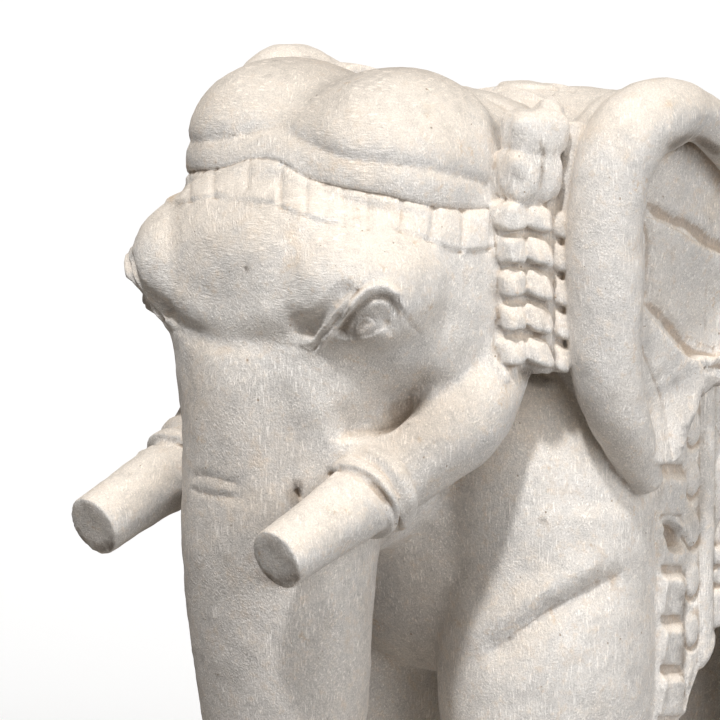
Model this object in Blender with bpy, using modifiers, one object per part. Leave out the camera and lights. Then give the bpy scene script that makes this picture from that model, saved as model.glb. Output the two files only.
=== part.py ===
"""A marble carving of a standing elephant with a headband, bead garlands and a saddle cloth, on a low base.

The elephant faces -Y and its left side is +X. The origin is the middle of the base's underside.
The whole carving is one block of stone, so it is one solid.
"""

import math

import bmesh
import bpy
import numpy as np
from mathutils import Matrix, Vector

# Driving sizes, in metres
FIGURE_HEIGHT = 0.379
BASE_LENGTH = 0.436
BASE_WIDTH = 0.204
BASE_THICKNESS = 0.021
BASE_CORNER_RADIUS = 0.012
BASE_EDGE_BEVEL = 0.002

# The figure's forms are shares of its height, counted in 379ths, so that one is 1 mm at the real size.
# Their places are across from the middle plane, back from the middle of the base, and up from its top.
SHARE = FIGURE_HEIGHT / 379

# How finely the forms are fused, how far they are smoothed, and how many triangles are left
MASS_VOXEL = 3.0
MASS_SMOOTHING_COUNT = 6
FEATURE_VOXEL = 1.8
FEATURE_SMOOTHING_COUNT = 2
FIGURE_TRIANGLES = 9400

# Marble
STONE_COLOUR = (0.74, 0.70, 0.64, 1.0)
STONE_ROUGHNESS = 0.62

# The rounded masses of the torso and the head, each as its centre, its radii and how square it is. Those on the
# middle plane come first, then those of the left side.
TORSO_MIDDLE = [
    ((0, -12, 249), (82, 80, 111), 2.0),
    ((0, 62, 242), (87, 122, 115), 2.0),
    ((0, 130, 235), (82, 71, 112), 2.0),
    ((0, -62, 182), (66, 44, 72), 2.0),
    ((0, -82, 296), (70, 58, 62), 2.0),
]
TORSO_SIDE = [((50, -42, 186), (43, 54, 78), 2.0), ((45, 126, 178), (43, 54, 84), 2.0)]
HEAD_MIDDLE = [
    ((0, -96, 316), (73, 71, 52), 2.9),
    ((0, -140, 288), (66, 48, 48), 2.7),
    ((0, -146, 252), (54, 42, 46), 2.5),
    ((0, -112, 206), (42, 36, 38), 2.0),
]
HEAD_SIDE = [
    ((28, -112, 338), (48, 51, 40.5), 2.4),
    ((45, -150, 292), (36, 37, 31), 2.0),
    ((50, -112, 286), (28, 54, 50), 2.4),
]

# The left legs and the trunk, from top to foot, as stations of (across, back, up, radius)
FORE_LEG = [(52, -44, 190, 49), (52, -46, 120, 51), (52, -47, 60, 46), (52, -47, 14, 47), (52, -47, -6, 48)]
FORE_LEG_FLATTEN = 0.88
HIND_LEG = [(50, 126, 190, 48), (50, 134, 120, 43), (50, 144, 60, 39), (50, 143, 14, 42), (50, 142, -6, 43)]
HIND_LEG_FLATTEN = 0.92
TRUNK = [
    (0, -126, 305, 46),
    (0, -134, 275, 50),
    (0, -146, 240, 48),
    (0, -153, 206, 43.5),
    (0, -156, 168, 41),
    (0, -153, 104, 35),
    (0, -148, 52, 29),
    (0, -149, 16, 25),
    (0, -150, -6, 25),
]

# The left cheek's ridge, from the tusk's root up to the ear
CHEEK = [
    (50, -158, 205, 18),
    (60, -134, 220, 18),
    (65, -114, 234, 20),
    (68, -96, 258, 16),
    (66, -88, 285, 16),
]

# The left tusk points forward and a little down, and ends sawn off flat. Two lips of skin ring its root.
TUSK_ROOT = (55, -146, 210)
TUSK_TIP = (55, -212, 185)
TUSK_RADIUS = 14.5
TUSK_TAPER = 0.9
LIP_SETBACK = 16
LIP_SPACING = 9
LIP_RADIUS = 15.6
LIP_THICKNESS = 3.0

# The left eye: the raised rim of its upper lid, and the eyeball under it
LID_RIM = [
    (43, -177, 266, 1.6),
    (54, -178, 277, 2.2),
    (63, -178.5, 286, 2.6),
    (70, -173, 293.5, 2.8),
    (76, -165, 292, 2.6),
    (76, -160, 283, 2.0),
    (73, -156, 275, 1.4),
]
EYEBALL_PLACE = (65, -168, 278)
EYEBALL_RADII = (8, 10, 6.5)

# The left ear from the side, as (back, up): its outline and its two folds, and how far out each stands
EAR_OUTLINE = [
    (-80, 345), (-66, 368), (-38, 370), (0, 352), (32, 330), (50, 296), (46, 262),
    (16, 246), (-4, 240), (-14, 214), (-31, 194), (-62, 216), (-78, 262),
]
EAR_FOLD = [
    (-46, 323), (-26, 319), (-8, 306), (14, 296), (38, 288), (44, 264),
    (16, 248), (-4, 242), (-14, 214), (-34, 200), (-60, 240),
]
EAR_LEAF = [(-42, 283), (-27, 276), (-15, 262), (-2, 246), (-8, 226), (-17, 208), (-32, 196), (-52, 230)]
EAR_ROOT = 60
EAR_HOLLOW_OUT = 92
EAR_FOLD_OUT = 100
EAR_LEAF_OUT = 107

# The ear's rolled edge, from its lower tip up its front and over its top, and how deep the roll is
EAR_ROLL = [
    (95, -32, 198, 5),
    (97, -50, 216, 10),
    (99, -60, 244, 14),
    (101, -64, 285, 16),
    (103, -64, 325, 16.5),
    (108, -58, 349, 16.5),
    (111, -38, 360, 14.5),
    (108, -8, 349, 11.5),
    (103, 16, 331, 9),
    (99, 37, 308, 7),
    (96, 45, 272, 5),
]
EAR_ROLL_DEPTH = 12

# The garland hangs down the side of the head in rows of beads, under a smooth knot
GARLAND_TOP = Vector((82, -88, 318.7))
GARLAND_PITCH = 14.1
GARLAND_ROWS = 5
GARLAND_RUN = Vector((8, 27, 0)).normalized()
BEAD_SPACING = 9.8
BEAD_RADII = (7.0, 6.0, 6.4)
EDGE_BEAD_RADII = (5.5, 3.6, 6.2)
EDGE_BEAD_PLACE = 1.9
KNOT_LIFT = 27
KNOT_RADII = (9, 16, 22)
KNOB_LIFT = (0, 12, 19)
KNOB_RADII = (7, 8, 8)

# The headband: heights of its edges at these turns about the head, from the brow to the garland, in degrees
HEAD_AXIS_BACK = -95
BAND_TURNS = [0, 15, 34, 54, 85]
UPPER_GROOVE = [356, 350, 344, 337, 333]
LOWER_GROOVE = [342, 336, 332.5, 326.5, 320.5]
TILES_FOOT = [326, 320.5, 316, 313, 306]
BAND_END_TURN = 89
STRAP_RISE = 1.6
STRAP_REACH = 10
UPPER_GROOVE_DEPTH = 2.8
UPPER_GROOVE_REACH = 5
LOWER_GROOVE_DEPTH = 1.8
LOWER_GROOVE_REACH = 3.5
TILES_RISE = 1.6

# The saddle cloth: its hanging side, as (back, up), and how far out it hangs
CLOTH_SIDE = [
    (-15, 250), (-17, 170), (-16, 86), (-3, 86), (22, 130),
    (90, 129), (166, 130), (166, 190), (166, 250), (80, 290),
]
CLOTH_SIDE_INNER = 50
CLOTH_SIDE_OUTER = 88

# The cloth's front, back and lower edges, its front corner that hangs lower, and its border
CLOTH_FRONT = -17
CLOTH_BACK = 168
CLOTH_FOOT = 130
CLOTH_THICKNESS = 2.4
CORNER_FOOT = 84
CORNER_WIDTH = 12
CORNER_BACK = 22
BORDER_WIDTH = 25
BORDER_RIM = 4
BORDER_RIM_RISE = 2.0
TROUGH_DEPTH = 1.4
BLOCK_WIDTH = 11
BLOCK_PITCH = 21.4
BLOCK_GAP_DEPTH = 4.0
BLOCK_GAP_REACH = 4.0

# The tail hangs down the rump and lies on the back of the left hind leg
TAIL = [
    (0, 176, 302, 8),
    (0, 193, 278, 8.5),
    (0, 200, 245, 8.5),
    (1, 199, 205, 7.5),
    (8, 188, 165, 7.5),
    (20, 174, 130, 8),
    (27, 170, 100, 9),
    (29, 172, 78, 6),
]

# Each foot has rounded nails along its front, at these turns in degrees from straight ahead
NAIL_TURNS = (-62, -21, 21, 62)
NAIL_RADII = (7.5, 6, 8.5)
FORE_FOOT = (Vector((52, -47, 2)), 38, 43)
HIND_FOOT = (Vector((52, 142, 2)), 37, 39)


def clear_scene():
    for thing in list(bpy.data.objects):
        bpy.data.objects.remove(thing, do_unlink=True)


def marble():
    stone = bpy.data.materials.new("marble")
    stone.use_nodes = True
    shader = stone.node_tree.nodes["Principled BSDF"]
    shader.inputs["Base Color"].default_value = STONE_COLOUR
    shader.inputs["Roughness"].default_value = STONE_ROUGHNESS
    shader.inputs["Metallic"].default_value = 0.0
    return stone


def place(across, back, up):
    """The point of the figure at these shares of its height."""
    return Vector((across * SHARE, back * SHARE, up * SHARE + BASE_THICKNESS))


def in_scene(name, data):
    thing = bpy.data.objects.new(name, data)
    bpy.context.scene.collection.objects.link(thing)
    return thing


def mesh_of(thing):
    """The object's final mesh in world space. The object itself is removed."""
    bpy.context.view_layer.update()
    graph = bpy.context.evaluated_depsgraph_get()
    mesh = bpy.data.meshes.new_from_object(thing.evaluated_get(graph), depsgraph=graph)
    mesh.transform(thing.matrix_world)
    bpy.data.objects.remove(thing, do_unlink=True)
    return mesh


def to_mesh(form):
    mesh = bpy.data.meshes.new("form")
    form.to_mesh(mesh)
    form.free()
    return mesh


def ball(centre, radii, square=2.0):
    """An ellipsoid, or with a higher square a rounded block."""
    form = bmesh.new()
    bmesh.ops.create_uvsphere(form, u_segments=40, v_segments=22, radius=1.0)
    for vertex in form.verts:
        vertex.co /= sum(abs(value) ** square for value in vertex.co) ** (1 / square)
    form.transform(Matrix.Translation(place(*centre)) @ Matrix.Diagonal((*(Vector(radii) * SHARE), 1.0)))
    return to_mesh(form)


def limb(stations, flatten=1.0):
    """A round limb through stations of (across, back, up, radius), its width across scaled by flatten."""
    curve = bpy.data.curves.new("limb", "CURVE")
    curve.dimensions = "3D"
    curve.bevel_depth = 1.0
    curve.bevel_resolution = 5
    curve.use_fill_caps = True
    curve.resolution_u = 6
    spline = curve.splines.new("BEZIER")
    spline.radius_interpolation = "CARDINAL"
    spline.bezier_points.add(len(stations) - 1)
    for point, (across, back, up, radius) in zip(spline.bezier_points, stations):
        point.co = place(across, back, up)
        point.radius = radius * SHARE
        point.handle_left_type = "AUTO"
        point.handle_right_type = "AUTO"
    mesh = mesh_of(in_scene("limb", curve))
    middle = Matrix.Translation((stations[0][0] * SHARE, 0, 0))
    mesh.transform(middle @ Matrix.Diagonal((flatten, 1, 1, 1)) @ middle.inverted())
    return mesh


def slab(outline, inner, outer):
    """A flat plate with this (back, up) outline, from inner to outer across."""
    curve = bpy.data.curves.new("slab", "CURVE")
    curve.dimensions = "2D"
    curve.fill_mode = "BOTH"
    curve.resolution_u = 4
    curve.extrude = (outer - inner) / 2 * SHARE
    spline = curve.splines.new("BEZIER")
    spline.bezier_points.add(len(outline) - 1)
    for point, (back, up) in zip(spline.bezier_points, outline):
        spot = place(0, back, up)
        point.co = (spot.y, spot.z, 0.0)
        point.handle_left_type = "AUTO"
        point.handle_right_type = "AUTO"
    spline.use_cyclic_u = True
    plate = in_scene("slab", curve)
    plate.rotation_euler = (math.radians(90), 0, math.radians(90))
    plate.location.x = (outer + inner) / 2 * SHARE
    return mesh_of(plate)


def ring(centre, direction, radius, thickness):
    """A collar about the line through centre in this direction."""
    bpy.ops.mesh.primitive_torus_add(
        major_radius=radius * SHARE,
        minor_radius=thickness * SHARE,
        major_segments=32,
        minor_segments=10,
    )
    collar = bpy.context.object
    collar.rotation_mode = "QUATERNION"
    collar.rotation_quaternion = Vector(direction).to_track_quat("Z", "Y")
    collar.location = place(*centre)
    return mesh_of(collar)


def on_both_sides(meshes):
    """These meshes and their reflections in the middle plane."""
    reflected = []
    for mesh in meshes:
        other = mesh.copy()
        other.transform(Matrix.Diagonal((-1, 1, 1, 1)))
        other.flip_normals()
        reflected.append(other)
    return [*meshes, *reflected]


def fuse(meshes, voxel, smoothing):
    """One closed skin about all these meshes, smoothed so that they run into each other."""
    form = bmesh.new()
    for mesh in meshes:
        form.from_mesh(mesh)
        bpy.data.meshes.remove(mesh)
    body = in_scene("form", to_mesh(form))
    skin = body.modifiers.new("one skin", "REMESH")
    skin.mode = "VOXEL"
    skin.voxel_size = voxel * SHARE
    soften = body.modifiers.new("soften", "SMOOTH")
    soften.factor = 0.5
    soften.iterations = smoothing
    return mesh_of(body)


def torso():
    return [*(ball(*mass) for mass in TORSO_MIDDLE), *on_both_sides([ball(*mass) for mass in TORSO_SIDE])]


def legs():
    return on_both_sides([limb(FORE_LEG, FORE_LEG_FLATTEN), limb(HIND_LEG, HIND_LEG_FLATTEN)])


def head():
    side = [*(ball(*mass) for mass in HEAD_SIDE), limb(CHEEK)]
    return [*(ball(*mass) for mass in HEAD_MIDDLE), *on_both_sides(side)]


def tusk():
    root = Vector(TUSK_ROOT)
    tip = Vector(TUSK_TIP)
    forward = (tip - root).normalized()
    middle = (root + tip) / 2
    return [
        limb([(*root, TUSK_RADIUS / TUSK_TAPER), (*middle, TUSK_RADIUS), (*tip, TUSK_RADIUS * TUSK_TAPER)]),
        ring(root + forward * LIP_SETBACK, forward, LIP_RADIUS, LIP_THICKNESS),
        ring(root + forward * (LIP_SETBACK - LIP_SPACING), forward, LIP_RADIUS, LIP_THICKNESS * 1.5),
    ]


def eye():
    return [limb(LID_RIM), ball(EYEBALL_PLACE, EYEBALL_RADII)]


def ear():
    deeper = [(across - EAR_ROLL_DEPTH, back, up, radius) for across, back, up, radius in EAR_ROLL]
    return [
        slab(EAR_OUTLINE, EAR_ROOT, EAR_HOLLOW_OUT),
        slab(EAR_FOLD, EAR_ROOT, EAR_FOLD_OUT),
        slab(EAR_LEAF, EAR_ROOT, EAR_LEAF_OUT),
        limb(EAR_ROLL),
        limb(deeper),
    ]


def garland():
    beads = []
    for row in range(GARLAND_ROWS):
        centre = GARLAND_TOP - Vector((0, 0, row * GARLAND_PITCH))
        for column in (-1, 0, 1):
            beads.append(ball(centre + GARLAND_RUN * BEAD_SPACING * column, BEAD_RADII))
        beads.append(ball(centre + GARLAND_RUN * BEAD_SPACING * EDGE_BEAD_PLACE, EDGE_BEAD_RADII))
    knot = GARLAND_TOP + Vector((0, 0, KNOT_LIFT))
    beads.append(ball(knot, KNOT_RADII, square=2.8))
    beads.append(ball(knot + Vector(KNOB_LIFT), KNOB_RADII))
    return beads


def swell(distance, reach):
    """One at no distance, falling smoothly to nothing at this reach."""
    share = np.clip(np.abs(distance) / reach, 0.0, 1.0)
    return (1 - share**2) ** 2


def step(value, low, high):
    share = np.clip((value - low) / (high - low), 0.0, 1.0)
    return share * share * (3 - 2 * share)


def headband(across, back, up):
    """How far the headband raises the stone at these points, in shares."""
    turn = np.degrees(np.arctan2(np.abs(across), HEAD_AXIS_BACK - back))
    upper = np.interp(turn, BAND_TURNS, UPPER_GROOVE)
    lower = np.interp(turn, BAND_TURNS, LOWER_GROOVE)
    foot = np.interp(turn, BAND_TURNS, TILES_FOOT)
    strap = STRAP_RISE * swell(up - (upper + lower) / 2, STRAP_REACH)
    upper_groove = UPPER_GROOVE_DEPTH * swell(up - upper, UPPER_GROOVE_REACH)
    lower_groove = LOWER_GROOVE_DEPTH * swell(up - lower, LOWER_GROOVE_REACH)
    tiles = TILES_RISE * step(up, foot - 1, foot + 1) * (1 - step(up, lower - 1, lower + 1))
    end = 1 - step(turn, BAND_END_TURN - 5, BAND_END_TURN + 5)
    return (strap + tiles - upper_groove - lower_groove) * end


def hanging_cloth():
    return on_both_sides([slab(CLOTH_SIDE, CLOTH_SIDE_INNER, CLOTH_SIDE_OUTER)])


def cloth_edge_distance(back, up):
    """How far inside the cloth's edge these points of the side are, negative outside it."""
    corner_end = CLOTH_FRONT + CORNER_WIDTH
    foot = np.interp(back, [corner_end, CORNER_BACK], [CORNER_FOOT, CLOTH_FOOT])
    return np.minimum(np.minimum(back - CLOTH_FRONT, CLOTH_BACK - back), up - foot)


def saddle_cloth(across, back, up):
    """How far the cloth with its border stands off the body."""
    inside = cloth_edge_distance(back, up)
    sheet = CLOTH_THICKNESS * step(inside, -1.5, 1.5)
    rim_middle = BORDER_WIDTH - BORDER_RIM
    rim = BORDER_RIM_RISE * swell(inside - rim_middle, BORDER_RIM * 1.2)
    trough_end = rim_middle - BORDER_RIM
    in_trough = step(inside, BLOCK_WIDTH, BLOCK_WIDTH + 2) * (1 - step(inside, trough_end, trough_end + 2))
    along = np.where(back - CLOTH_FRONT < BORDER_WIDTH, up, back)
    gap = swell((along + 3) % BLOCK_PITCH - BLOCK_PITCH / 2, BLOCK_GAP_REACH)
    gap_end = 1 - step(inside, BLOCK_WIDTH - 1, BLOCK_WIDTH + 1)
    border = (rim - BLOCK_GAP_DEPTH * gap * gap_end - TROUGH_DEPTH * in_trough) * step(inside, 0, 1)
    return sheet + border


def nails():
    parts = []
    for middle, reach_across, reach_back in (FORE_FOOT, HIND_FOOT):
        for turn in NAIL_TURNS:
            angle = math.radians(turn)
            outward = Vector((math.sin(angle) * reach_across, -math.cos(angle) * reach_back, 0))
            parts.append(ball(middle + outward, NAIL_RADII))
    return parts


def carve(mesh, *reliefs):
    """Moves the skin out along its own direction by what the reliefs add up to."""
    count = len(mesh.vertices) * 3
    points = np.empty(count, np.float32)
    normals = np.empty(count, np.float32)
    mesh.vertices.foreach_get("co", points)
    mesh.vertices.foreach_get("normal", normals)
    points = points.reshape(-1, 3)
    across, back, up = ((points - (0, 0, BASE_THICKNESS)) / SHARE).T
    amount = sum(relief(across, back, up) for relief in reliefs) * SHARE
    moved = points + normals.reshape(-1, 3) * amount[:, None]
    mesh.vertices.foreach_set("co", moved.astype(np.float32).reshape(-1))
    mesh.update()
    return mesh


def is_upright(edge):
    return abs(edge.verts[0].co.z - edge.verts[1].co.z) > BASE_EDGE_BEVEL


def base():
    """A low slab with rounded corners and softened edges."""
    form = bmesh.new()
    bmesh.ops.create_cube(form, size=1.0)
    form.transform(Matrix.Diagonal((BASE_WIDTH, BASE_LENGTH, BASE_THICKNESS, 1)))

    for upright, offset, segments in ((True, BASE_CORNER_RADIUS, 4), (False, BASE_EDGE_BEVEL, 1)):
        edges = [edge for edge in form.edges if is_upright(edge) == upright]
        bmesh.ops.bevel(form, geom=edges, offset=offset, segments=segments, affect="EDGES", profile=0.5)
    form.transform(Matrix.Translation((0, 0, BASE_THICKNESS / 2)))
    return to_mesh(form)


def elephant():
    masses = fuse([*torso(), *hanging_cloth(), *legs(), *head(), limb(TRUNK)], MASS_VOXEL, MASS_SMOOTHING_COUNT)
    carve(masses, saddle_cloth)
    features = on_both_sides([*tusk(), *eye(), *ear(), *garland(), *nails()])
    figure = fuse([masses, *features, limb(TAIL)], FEATURE_VOXEL, FEATURE_SMOOTHING_COUNT)
    return carve(figure, headband)


def carving(stone):
    skin = elephant()
    skin.calc_loop_triangles()
    count = len(skin.loop_triangles)
    figure = in_scene("elephant", skin)
    thin = figure.modifiers.new("fewer triangles", "DECIMATE")
    thin.ratio = FIGURE_TRIANGLES / count
    block = in_scene("elephant", mesh_of(figure))
    foot = in_scene("base", base())
    join = block.modifiers.new("stands on the base", "BOOLEAN")
    join.operation = "UNION"
    join.solver = "EXACT"
    join.object = foot
    solid = in_scene("elephant_carving", mesh_of(block))
    bpy.data.objects.remove(foot, do_unlink=True)
    solid.data.materials.clear()
    solid.data.materials.append(stone)
    solid.data.shade_smooth()
    return solid


def main():
    clear_scene()
    collection = bpy.data.collections.new("marble_elephant_carving")
    bpy.context.scene.collection.children.link(collection)
    solid = carving(marble())
    bpy.context.scene.collection.objects.unlink(solid)
    collection.objects.link(solid)


main()
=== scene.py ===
"""The looks of a marble elephant carving: one block of stone, carved, weathered and standing in a plain studio.

Places on the figure are in shares, 1 mm at the real size: across from its middle plane, back from the middle
of the base, and up from the base's top. The elephant faces -Y and its left side is +X.
"""

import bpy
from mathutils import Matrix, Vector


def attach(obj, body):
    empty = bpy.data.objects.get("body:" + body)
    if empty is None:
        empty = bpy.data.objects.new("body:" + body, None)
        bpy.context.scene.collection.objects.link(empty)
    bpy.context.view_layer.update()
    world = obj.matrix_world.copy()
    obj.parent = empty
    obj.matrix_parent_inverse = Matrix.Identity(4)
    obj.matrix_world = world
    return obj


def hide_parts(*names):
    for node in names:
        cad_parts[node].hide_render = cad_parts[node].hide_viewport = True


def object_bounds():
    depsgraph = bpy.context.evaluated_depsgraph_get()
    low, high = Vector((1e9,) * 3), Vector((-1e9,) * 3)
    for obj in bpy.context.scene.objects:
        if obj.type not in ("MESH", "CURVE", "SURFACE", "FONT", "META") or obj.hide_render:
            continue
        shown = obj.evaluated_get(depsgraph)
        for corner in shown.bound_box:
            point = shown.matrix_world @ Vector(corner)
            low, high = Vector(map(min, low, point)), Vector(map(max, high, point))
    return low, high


bl_info = {
    "name": "Marble Elephant Carving",
    "version": (1, 0, 0),
    "blender": (4, 5, 0),
    "location": "View3D > Sidebar > Carving",
    "description": "Carves a marble elephant around its packed model and sets up a studio for it",
    "category": "Add Mesh",
}

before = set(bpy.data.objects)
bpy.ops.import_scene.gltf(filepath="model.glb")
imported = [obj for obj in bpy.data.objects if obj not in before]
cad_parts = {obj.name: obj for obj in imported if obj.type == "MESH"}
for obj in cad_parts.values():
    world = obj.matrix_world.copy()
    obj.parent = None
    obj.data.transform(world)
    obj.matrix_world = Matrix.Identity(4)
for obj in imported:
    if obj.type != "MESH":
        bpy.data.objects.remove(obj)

import math

import bmesh
import bpy
import numpy as np
from mathutils import Matrix, Vector

NODE = "elephant_carving"
CAD_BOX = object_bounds()

# How many shares tall the carving is with its base, and how many of them are the base
CARVING_SHARES = 399.46
BASE_SHARES = 21.0
SHARE = (CAD_BOX[1].z - CAD_BOX[0].z) / CARVING_SHARES

# The drawing of the left front, on which the carved lines are laid out. Its steps are counted from its upper left.
DRAWING_TURN = math.radians(45)
DRAWING_TILT = math.radians(8.4)
DRAWING_STEP = 0.42
DRAWING_STEPS = 720
DRAWING_DISTANCE = 5500
DRAWING_ORIGIN = Vector((0, -155.4, 202.4))
DRAWING_OFFSET = (79, 125)

# The left legs and the trunk, from top to foot, as stations of (across, back, up, radius)
FORE_LEG = [(52, -44, 190, 49), (52, -46, 120, 51), (52, -47, 60, 46), (52, -47, 14, 47), (52, -47, -6, 48)]
FORE_LEG_FLATTEN = 0.88
HIND_LEG = [(50, 126, 190, 48), (50, 134, 120, 43), (50, 144, 60, 39), (50, 143, 14, 42), (50, 142, -6, 43)]
HIND_LEG_FLATTEN = 0.92
TRUNK = [
    (0, -126, 305, 46), (0, -134, 275, 50), (0, -146, 240, 48), (0, -153, 206, 43.5), (0, -156, 168, 41),
    (0, -153, 104, 35), (0, -148, 52, 29), (0, -149, 16, 25), (0, -150, -6, 25),
]
# Rounded masses as (centre, radii, squareness): shoulders, belly, rump, breast, neck, crown, brow, snout and throat
MIDDLE_MASSES = [
    ((0, -12, 249), (82, 80, 111), 2.0), ((0, 58, 238), (87, 122, 107), 2.0), ((0, 130, 230), (82, 71, 100), 2.0),
    ((0, -62, 182), (66, 44, 72), 2.0), ((0, -82, 296), (70, 58, 62), 2.0), ((0, -96, 316), (73, 71, 52), 2.9),
    ((0, -140, 288), (66, 48, 48), 2.7), ((0, -146, 252), (54, 42, 46), 2.5), ((0, -112, 206), (42, 36, 38), 2.0),
]
# The same for the left side: shoulder, haunch, dome, corner of the brow, and temple
SIDE_MASSES = [
    ((50, -42, 186), (43, 54, 78), 2.0), ((45, 126, 178), (43, 54, 84), 2.0), ((30, -119, 338), (45, 45, 40.5), 2.1),
    ((45, -150, 292), (36, 37, 31), 2.0), ((50, -112, 286), (28, 54, 50), 2.4),
]
CHEEK = [(50, -158, 205, 18), (60, -134, 220, 18), (65, -114, 234, 20), (68, -96, 258, 16), (66, -88, 285, 16)]
TAIL = [
    (0, 176, 302, 8), (0, 193, 278, 8.5), (0, 200, 245, 8.5), (1, 199, 205, 7.5),
    (8, 188, 165, 7.5), (20, 174, 130, 8), (27, 170, 100, 9), (29, 172, 78, 6),
]

# Soft valleys: between the head's two domes, as half its width, the heights it fades in at and where it ends at
# the back, and between the trunk and the cheek, as its middle and its radii
CROWN_VALLEY_HALF = 44
CROWN_VALLEY_UPS = (328, 342)
CROWN_VALLEY_BACK = -60
CHEEK_VALLEY = (42, -160, 242)
CHEEK_VALLEY_RADII = (32, 32, 38)

# The left tusk ends sawn off flat. Two lips of skin ring its root.
TUSK_ROOT = (55, -146, 210)
TUSK_TIP = (55, -212, 185)
TUSK_RADIUS = 14.5
TUSK_TAPER = 0.9
LIP_SETBACK = 16
LIP_SPACING = 9
LIP_RADIUS = 15.6
LIP_THICKNESS = 3.0

# The left eye: the raised rim of its upper lid, and the eyeball under it
LID_RIM = [
    (43, -177, 266, 1.6), (54, -178, 277, 2.2), (63, -178.5, 286, 2.6), (70, -173, 293.5, 2.8),
    (76, -165, 292, 2.6), (76, -160, 283, 2.0), (73, -156, 275, 1.4),
]
EYEBALL_PLACE = (62.5, -166, 278.5)
EYEBALL_RADII = (6.2, 11, 7.5)

# The left ear from the side, as (back, up): its outline and its two folds, and how far out each stands
EAR_OUTLINE = [
    (-64, 345), (-54, 364), (-34, 366), (-6, 354), (22, 332), (46, 298), (46, 262),
    (16, 248), (-6, 247), (-13, 230), (-24, 212), (-31, 196), (-52, 222), (-63, 262),
]
EAR_FOLD = [
    (-54, 322), (-38, 315), (-19, 307.5), (0, 298), (20, 291), (40, 284), (45, 266),
    (16, 250), (-6, 249), (-13, 231), (-24, 213), (-34, 200), (-60, 240),
]
EAR_LEAF = [
    (-56, 283), (-45, 275.5), (-35.5, 267.3), (-18.3, 254), (-9.3, 249.5),
    (-11.5, 233), (-18, 221.5), (-28, 209), (-52, 230),
]
EAR_ROOT = 60
EAR_HOLLOW_OUT = 94
EAR_FOLD_OUT = 100
EAR_LEAF_OUT = 107
EAR_ROLL = [
    (96, -32, 200, 7), (98, -47, 221, 11.5), (99, -59.5, 244, 14.5), (101, -65.5, 285, 16.4), (103, -66, 325, 16.2),
    (106, -57, 350, 17), (106, -36, 357.5, 15.5), (104, -14, 355.5, 11.5), (102, 4, 347, 10.5), (98, 26, 328, 9),
    (96, 42, 302, 7.5), (95, 46, 272, 5),
]
# What joins the roll to the neck behind it
EAR_NECK = [
    (84, -34, 221, 9), (85, -46, 244, 11), (87, -50, 285, 11.5), (89, -53, 306, 11), (90, -60, 330, 12),
    (93, -57, 350, 13), (92, -36, 358, 11.5),
]
# The right ear is pinched towards its front by this share near its top, and grows taller by this share above its foot
FAR_EAR_PINCH = 0.22
FAR_EAR_GROWTH = 1.014
EAR_FRONT = -75
EAR_PINCH_UPS = (290, 345)
FAR_EAR_FOOT = 250
# The stone within this of an ear's outline belongs to the ear
EAR_MARGIN = 3

# The garland's rows of beads, cut like shingles, under a smooth knot. Each bead of a row is given as its place
# along the row, how far it hangs below the row, its radii out, along and up, and how steeply it slopes.
GARLAND_TOP = Vector((82, -88, 318.7))
GARLAND_PITCH = 14.1
GARLAND_ROWS = 5
GARLAND_TURN = -16.5
GARLAND_BEADS = [
    (-13.1, 0.0, (9.2, 6.0, 5.9), 0.0), (-1.5, 1.2, (9.6, 7.1, 5.9), 0.32), (10.3, 5.0, (7.2, 3.7, 5.9), 0.2),
]
BEAD_FOOT = 0.93
BEAD_LEAN = 1.5
# What counts as the garland: how far it reaches along the head's side, how far in, and how far down
GARLAND_REACH = (-19.6, 17)
GARLAND_DEPTH = 6
GARLAND_FOOT = 250
GARLAND_BACKING = (3.6, 15.5, 40)
GARLAND_BACKING_SHIFT = -1.5
KNOT_LIFT = 24
KNOT_SHIFT = -1.6
KNOT_RADII = (10.2, 13.4)
KNOT_RAKE = 0.16
# The knot's two swellings: how far each lies above its middle, and half its height
KNOT_HALVES = [(-7.5, 12.5), (9, 10.5)]
KNOT_STRAP = [(88, -71, 356, 3), (88, -72.5, 338, 4.6), (88, -75, 314, 5)]
KNOB_LIFT = Vector((1, 9.5, 17.5))
KNOB_RADII = (6, 7, 6.5)

# The headband: heights of its edges at these turns about the head, from the brow to the garland, in degrees
HEAD_AXIS_BACK = -95
UPPER_TURNS = [0, 10, 25, 36, 46, 58, 73, 85]
UPPER_EDGE = [355, 351.5, 347, 344.3, 343.3, 340.6, 335, 330.6]
LOWER_TURNS = [0, 9, 17, 26, 37, 46, 58, 70, 84]
LOWER_EDGE = [341.0, 340.0, 336.1, 333.4, 331.4, 329.3, 324.9, 322.2, 321.6]
FOOT_TURNS = [0, 12, 19, 29, 38, 48, 58, 66, 77, 86]
FOOT_EDGE = [325.0, 325.2, 322.8, 319.5, 317.8, 317.0, 311.3, 306.3, 305.8, 307.5]
BAND_END_TURN = 83
# The right side's tiles differ from the left's up to this turn
FAR_TILES_TURN = 40
# Its section, from the dome over the strap at 0, the strap's lower groove at 1 and the tiles' foot at 2
BAND_PLACES = [-0.6, -0.3, -0.12, 0.0, 0.12, 0.3, 0.55, 0.8, 0.93, 1.0, 1.07, 1.16, 1.5, 1.93, 2.0, 2.06, 2.4]
BAND_LIFTS = [0.0, -0.3, -1.0, -1.7, -1.3, -0.4, 0.1, 0.3, 0.2, -0.8, 0.4, 1.3, 1.6, 1.6, 1.3, 0.2, 0.0]

# The saddle cloth: its hanging side, as (back, up), its edges, and its border of blocks, petals and a rim
CLOTH_SIDE = [
    (-18, 250), (-20, 170), (-19, 80), (-9, 82), (-2, 93), (9, 115), (20, 128),
    (90, 129), (166, 130), (166, 190), (166, 250), (80, 290),
]
CLOTH_SIDE_INNER = 50
CLOTH_SIDE_OUTER = 88
CLOTH_FRONT = -19.5
CLOTH_BACK = 168
CLOTH_FOOT = 130
CLOTH_THICKNESS = 2.4
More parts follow.
